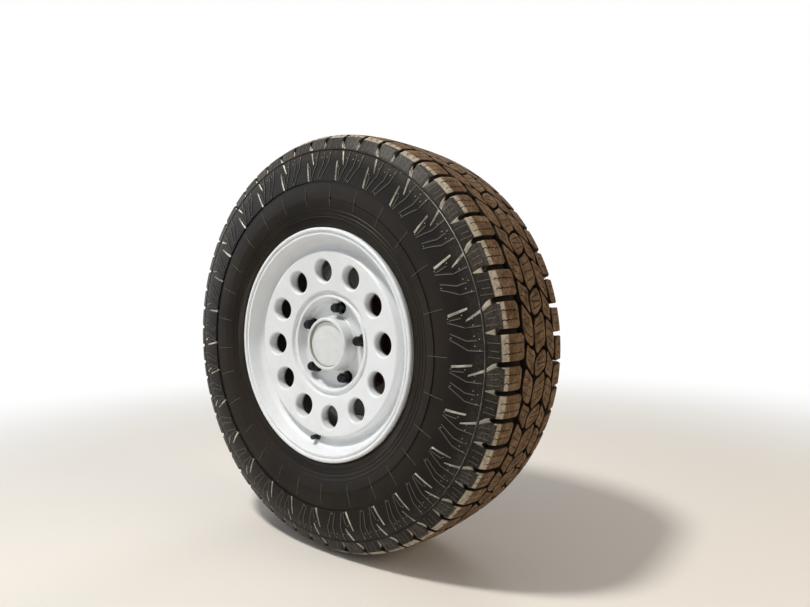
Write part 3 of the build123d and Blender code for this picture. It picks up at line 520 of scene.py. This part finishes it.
def raiseOutline(bm, outline, low, high, bevel=0):
    # one flat outline drawn up to a closed block, its top edge rounded
    corners = [bm.verts.new((x * tyre["pitchLength"], y, low)) for x, y in outline]
    face = bm.faces.new(corners)
    drawn = bmesh.ops.extrude_face_region(bm, geom=[face])["geom"]
    top = [item for item in drawn if isinstance(item, bmesh.types.BMVert)]
    bmesh.ops.translate(bm, verts=top, vec=(0, 0, high - low))
    if not face.is_valid:
        # drawing it up drops the first face, so a copy closes the foot
        bm.faces.new([bm.verts.new(v.co) for v in corners])
    if bevel:
        chosen = set(top)
        rim = [e for e in bm.edges if e.verts[0] in chosen and e.verts[1] in chosen]
        bmesh.ops.bevel(bm, geom=rim, offset=bevel, offset_type="OFFSET", segments=2, profile=0.5,
                        affect="EDGES", clamp_overlap=True, material=-1)
    return top


def cutAcross(bm, rows, columns):
    # cuts the flat mesh where the tyre's surface bends, so it can follow it: at the section's rows
    # and at columns evenly along
    apart = tyre["pitchLength"] / tyre["bendCuts"]
    planes = [(((cut + 0.5) * apart, 0, 0), (1, 0, 0)) for cut in columns]
    planes += [((0, way, 0), (0, 1, 0)) for row in rows for way in (row[0], -row[0])]
    for point, normal in planes:
        bmesh.ops.bisect_plane(bm, geom=bm.verts[:] + bm.edges[:] + bm.faces[:], dist=1e-4,
                               plane_co=point, plane_no=normal)


def repeatPitch(bm):
    # copies one pitch all the way round
    onePitch = bm.verts[:] + bm.edges[:] + bm.faces[:]
    for number in range(1, pitchCount):
        copied = bmesh.ops.duplicate(bm, geom=onePitch)["geom"]
        verts = [item for item in copied if isinstance(item, bmesh.types.BMVert)]
        bmesh.ops.translate(bm, verts=verts, vec=(number * tyre["pitchLength"], 0, 0))


def onHalf(half, points):
    # the pattern of the outer half as it lies there, or turned half round on the inner half
    if half == "outer":
        return [(x, -y) for x, y in points]
    return [(tyre["innerShift"] - x, y) for x, y in points]


# one pitch of the tread's outer half and crown: distance along in pitches, way from the crown in millimetres
treadOutlines = {
    "longShoulder": (
        (0.045, 67), (0.085, 61), (0.4, 59), (0.457, 65), (0.457, 113), (0.45, 116), (0.497, 137),
        (-0.072, 137), (0.0, 129), (0.03, 122), (0.045, 113)),
    "shortShoulder": (
        (0.543, 74), (0.58, 68.5), (0.9, 67), (0.957, 73), (0.957, 113), (0.945, 122), (0.91, 129),
        (0.85, 137), (0.515, 137), (0.57, 116), (0.543, 113)),
    "smallInner": (
        (-0.035, 52), (0.05, 53.5), (0.16, 52), (0.265, 48), (0.218, 42), (0.178, 34), (0.162, 28),
        (0.12, 23.2), (0.07, 21.5), (0.02, 24.5), (-0.08, 27.5), (-0.2, 26.5), (-0.258, 28), (-0.164, 38)),
    "largeInner": (
        (0.318, 50), (0.4, 56), (0.55, 59.5), (0.75, 58.5), (0.885, 53), (0.864, 50), (0.764, 38),
        (0.69, 29.5), (0.62, 26.6), (0.48, 25.4), (0.32, 26.6), (0.245, 29.5), (0.228, 35), (0.265, 42)),
}
crownOutlines = {
    "narrowCrown": (
        (-0.295, -14), (-0.24, -20), (-0.11, -22.5), (0.0, -19.5), (0.045, -13), (0.095, -4), (0.13, 5),
        (0.145, 14), (0.09, 20), (-0.04, 22.5), (-0.15, 19.5), (-0.195, 13), (-0.245, 4), (-0.28, -5)),
    "wideCrown": (
        (0.1, -13), (0.17, -19.5), (0.33, -21.2), (0.54, -20), (0.64, -14), (0.663, -6), (0.7, 4),
        (0.75, 13), (0.68, 19.5), (0.52, 21.2), (0.31, 20), (0.21, 14), (0.187, 6), (0.15, -4)),
}
# sipes, from end to end; each is drawn as a zigzag, wide enough to show
sipes = (
    ((0.17, 66), (0.16, 109)), ((0.31, 65), (0.32, 109)), ((0.68, 74), (0.67, 109)),
    ((0.81, 73), (0.825, 109)), ((-0.1, 31), (-0.01, 40), (0.04, 50)), ((0.05, 26), (0.1, 38), (0.17, 48)),
    ((0.36, 30), (0.4, 42), (0.47, 55)), ((0.5, 29), (0.56, 42), (0.63, 56)),
    ((0.61, 31), (0.69, 42), (0.76, 55)),
)
crownSipes = (
    ((-0.2, -15), (-0.13, 14)), ((-0.08, -17), (-0.07, 17)), ((-0.02, -14), (0.05, 15)),
    ((0.25, -14), (0.33, 15)), ((0.4, -16), (0.45, 16)), ((0.52, -15), (0.6, 14)),
)
shoulderRibs = (
    ((0.1, 116), (0.12, 136)), ((0.2, 118), (0.22, 131)), ((0.33, 115), (0.35, 136)),
    ((0.63, 116), (0.62, 136)), ((0.74, 118), (0.73, 130)), ((0.85, 116), (0.81, 136)),
)


def cutSipe(bm, line):
    # a thin zigzag wall along the line, to be cut out of the blocks
    width = tyre["sipeWidth"] / tyre["pitchLength"] / 2
    spine = []
    for (x1, y1), (x2, y2) in zip(line, line[1:]):
        steps = max(2, round(abs(y2 - y1) / tyre["sipeStep"]))
        for step in range(steps + (line[-1] == (x2, y2))):      # the last leg has its end too
            part = step / steps
            sway = tyre["sipeWave"] * (1 if len(spine) % 2 else -1) / 2
            spine.append((x1 + (x2 - x1) * part + sway, y1 + (y2 - y1) * part))
    outline = [(x - width, y) for x, y in spine] + [(x + width, y) for x, y in reversed(spine)]
    low, high = tyre["treadDepth"] - tyre["sipeDepth"], tyre["treadDepth"] + tyre["sipeClear"]
    raiseOutline(bm, outline, low, high)


bm = bmesh.new()
cutters = bmesh.new()
low, high = -tyre["blockRoot"] * tyre["treadDepth"], tyre["treadDepth"]
for outline in treadOutlines.values():
    for half in ("outer", "inner"):
        raiseOutline(bm, onHalf(half, outline), low, high, tyre["blockBevel"])
for outline in crownOutlines.values():
    raiseOutline(bm, outline, low, high, tyre["blockBevel"])
for line in sipes:
    for half in ("outer", "inner"):
        cutSipe(cutters, onHalf(half, line))
for line in crownSipes:
    cutSipe(cutters, line)
pitchParts = []
for name, flatPart in (("pitchBlocks", bm), ("pitchSipes", cutters)):
    bmesh.ops.remove_doubles(flatPart, verts=flatPart.verts, dist=1e-4)
    bmesh.ops.recalc_face_normals(flatPart, faces=flatPart.faces)
    mesh = bpy.data.meshes.new(name)
    flatPart.to_mesh(mesh)
    flatPart.free()
    pitchParts.append(bpy.data.objects.new(name, mesh))
    scene.collection.objects.link(pitchParts[-1])
blocks, walls = pitchParts
cutting = blocks.modifiers.new("sipes", "BOOLEAN")
cutting.operation, cutting.solver, cutting.object = "DIFFERENCE", "EXACT", walls
depsgraph = bpy.context.evaluated_depsgraph_get()
cutBlocks = bpy.data.meshes.new_from_object(blocks.evaluated_get(depsgraph))
for part in pitchParts:
    bpy.data.objects.remove(part)
bm = bmesh.new()
bm.from_mesh(cutBlocks)
bmesh.ops.remove_doubles(bm, verts=bm.verts, dist=1e-4)
openEdges = sum(1 for e in bm.edges if not e.is_manifold)
print("one pitch cut:", len(bm.faces), "faces,", openEdges, "open edges")
low, high = tyre["treadDepth"] - tyre["reliefRoot"], tyre["treadDepth"] + tyre["ribHeight"]
reach = tyre["ribWidth"] / 2
for (x1, y1), (x2, y2) in shoulderRibs:
    strip = ((x1 - reach, y1), (x1 + reach, y1), (x2 + reach, y2), (x2 - reach, y2))
    for half in ("outer", "inner"):
        raiseOutline(bm, onHalf(half, strip), low, high)
cutAcross(bm, profile[1:12], range(-4, 9))      # the rows of the blocks
repeatPitch(bm)


def wrapTread(co):
    return placeOn(co.y, co.z / tyre["treadDepth"]) + (co.y, co.z / tyre["treadDepth"])


treadBlocks = finishTyrePiece(bm, "treadBlocks", wrapTread, 32)

# side lugs: each pitch's plate meets the next along the jog, and a slot runs on from either end of it
lugPlate = (
    (-0.1, 141), (-0.235, 167), (-0.065, 162), (-0.022, 161), (-0.085, 202), (0.855, 202), (0.935, 162),
    (0.765, 167), (0.722, 169), (0.845, 141),
)
stepLines = (
    ((0.205, 142), (0.216, 168), (0.426, 201)), ((0.384, 152), (0.384, 170), (0.53, 198)),
    ((0.626, 142), (0.616, 170), (0.753, 201)), ((0.8, 175), (0.785, 197)),
)
studs = (
    (0.226, 148), (0.416, 148), (0.3, 156), (0.47, 156), (0.66, 156), (0.77, 156), (0.86, 173),
    (0.46, 197), (0.835, 199),
)
bandHeights = ((207, 0.45), (222, 0.5), (236, 2.1), (250, 2.1))     # of the plain band's lines, way by way
bm = bmesh.new()
for half in ("outer", "inner"):
    corners = [(x * tyre["pitchLength"], y, -tyre["lugRoot"]) for x, y in onHalf(half, lugPlate)]
    bm.faces.new([bm.verts.new(corner) for corner in corners])
cutAcross(bm, profile[12:-1], range(-5, 9))      # the rows beyond the blocks
repeatPitch(bm)
bmesh.ops.remove_doubles(bm, verts=bm.verts, dist=1e-3)
drawn = bmesh.ops.extrude_face_region(bm, geom=bm.faces[:], use_keep_orig=True)["geom"]
top = {item for item in drawn if isinstance(item, bmesh.types.BMVert)}
bmesh.ops.translate(bm, verts=list(top), vec=(0, 0, tyre["lugDepth"] + tyre["lugRoot"]))
rim = [e for e in bm.edges if e.verts[0] in top and e.verts[1] in top
       and any(not all(v in top for v in f.verts) for f in e.link_faces)]
bmesh.ops.bevel(bm, geom=rim, offset=tyre["lugBevel"], offset_type="OFFSET", segments=2, profile=0.5,
                affect="EDGES", clamp_overlap=True, material=-1)

# what stands on the lugs, the lines of the plain band, and the ring between tread and side
relief = bmesh.new()
lugTop = tyre["lugDepth"]
root = lugTop - tyre["reliefRoot"]
for half, side in (("outer", -1), ("inner", 1)):
    for line in stepLines:
        for (x1, y1), (x2, y2) in zip(line, line[1:]):
            near = onHalf(half, ((x2, y2), (x1, y1)))
            far = onHalf(half, ((x1 + tyre["stepWidth"], y1), (x2 + tyre["stepWidth"], y2)))
            for vert in raiseOutline(relief, far + near, root, lugTop + tyre["stepHeight"]):
                along = vert.co.x / tyre["pitchLength"]
                if any(abs(along - x) + abs(vert.co.y - y) < 1e-3 for x, y in far):
                    vert.co.z = lugTop + tyre["stepFoot"]      # slopes away behind the step
            # a low strip before each step, coloured black as the step's painted shadow
            before = onHalf(half, ((x1 - tyre["shadowStripWidth"], y1), (x2 - tyre["shadowStripWidth"], y2)))
            raiseOutline(relief, before + near, root, lugTop + tyre["shadowStripHeight"])
    reach, length = tyre["studWidth"] / 2, tyre["studLength"] / 2
    for x, y in studs:
        dot = ((x - reach, y), (x, y - length), (x + reach, y), (x, y + length))
        raiseOutline(relief, onHalf(half, dot), root, lugTop + tyre["studHeight"])
    x1, x2 = tyre["bandLine"]
    for (y1, height1), (y2, height2) in zip(bandHeights, bandHeights[1:]):
        strip = onHalf(half, ((x1, y1), (x2, y1), (x2, y2), (x1, y2)))
        for vert in raiseOutline(relief, strip, -tyre["bandRoot"], height1):
            vert.co.z = height1 if abs(abs(vert.co.y) - y1) < 1e-3 else height2
    y1, y2 = (side * y for y in tyre["ring"])
    ring = ((0, y1), (1, y1), (1, y2), (0, y2))
    raiseOutline(relief, ring, -tyre["ringRoot"], lugTop + tyre["ringHeight"])
cutAcross(relief, profile[12:-1], range(-4, 9))
repeatPitch(relief)
reliefMesh = bpy.data.meshes.new("relief")
relief.to_mesh(reliefMesh)
relief.free()
bm.from_mesh(reliefMesh)


def wrapSide(co):
    # the ring, nearer the crown than 140, has the lugs' finish
    lift = co.z / tyre["lugDepth"]
    return placeOn(co.y, lift) + (co.y, lift if abs(co.y) > 140 else 1.0)


sideLugs = finishTyrePiece(bm, "sideLugs", wrapSide, 32)

# casing: its whole section is carried round, bead to bead and back over the inner liner
halfSection = [(row[0], row[3], row[4]) for row in profile[1:22]]
halfSection += [(236, 290.1, 131.4), (251, 275.3, 128.3)]      # a ledge: the casing stands out further below
# raised rings near the bead, on a straight line where way and radius add up to one number
beadRings = {
    "radii": (270, 262, 255), "wayAndRadius": 520, "lowest": (250, 120.6), "slope": 0.29,
    "outline": ((0, 1.2, 0.3), (0.4, 0.4, 0.9), (1.0, -0.4, 0.7), (1.4, -1.2, -0.3)),
}
for radius in beadRings["radii"]:
    offset = beadRings["lowest"][1] + (radius - beadRings["lowest"][0]) * beadRings["slope"]
    way = beadRings["wayAndRadius"] - radius
    halfSection += [(way + along, radius + up, offset + out) for along, up, out in beadRings["outline"]]
halfSection += [
    (270, 249, 120.4), (280, 242, 118.2), (286, 238.4, 116.6), (290, 236.6, 113.4), (295, 230.6, 107.9),
    (305, 219.6, 107.5), (320, 219, 91), (340, 228, 92), (380, 262, 109), (420, 300, 118), (450, 335, 118),
    (480, 366, 111), (510, 388, 96), (540, 397.5, 72), (570, 399.5, 36),
]
rows = [(0, 412.3, 0)] + [(-way, radius, -offset) for way, radius, offset in halfSection]
rows += [(600, 400, 0)] + halfSection[::-1]
bm = bmesh.new()
corners = [bm.verts.new((0, number, 0)) for number in range(len(rows) + 1)]
section = [bm.edges.new(pair) for pair in zip(corners, corners[1:])]
steps = pitchCount * tyre["casingSteps"]
bmesh.ops.spin(bm, geom=corners + section, cent=(0, 0, 0), axis=(0, 0, 1), angle=0, steps=steps,
               dvec=(tyre["pitchLength"] * pitchCount / steps, 0, 0))


def wrapCasing(co):
    way, radius, offset = rows[round(co.y) % len(rows)]
    return radius, offset, way, 0.0


casing = finishTyrePiece(bm, "tyreCasing", wrapCasing, 40)
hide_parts("tyre")

print("done")
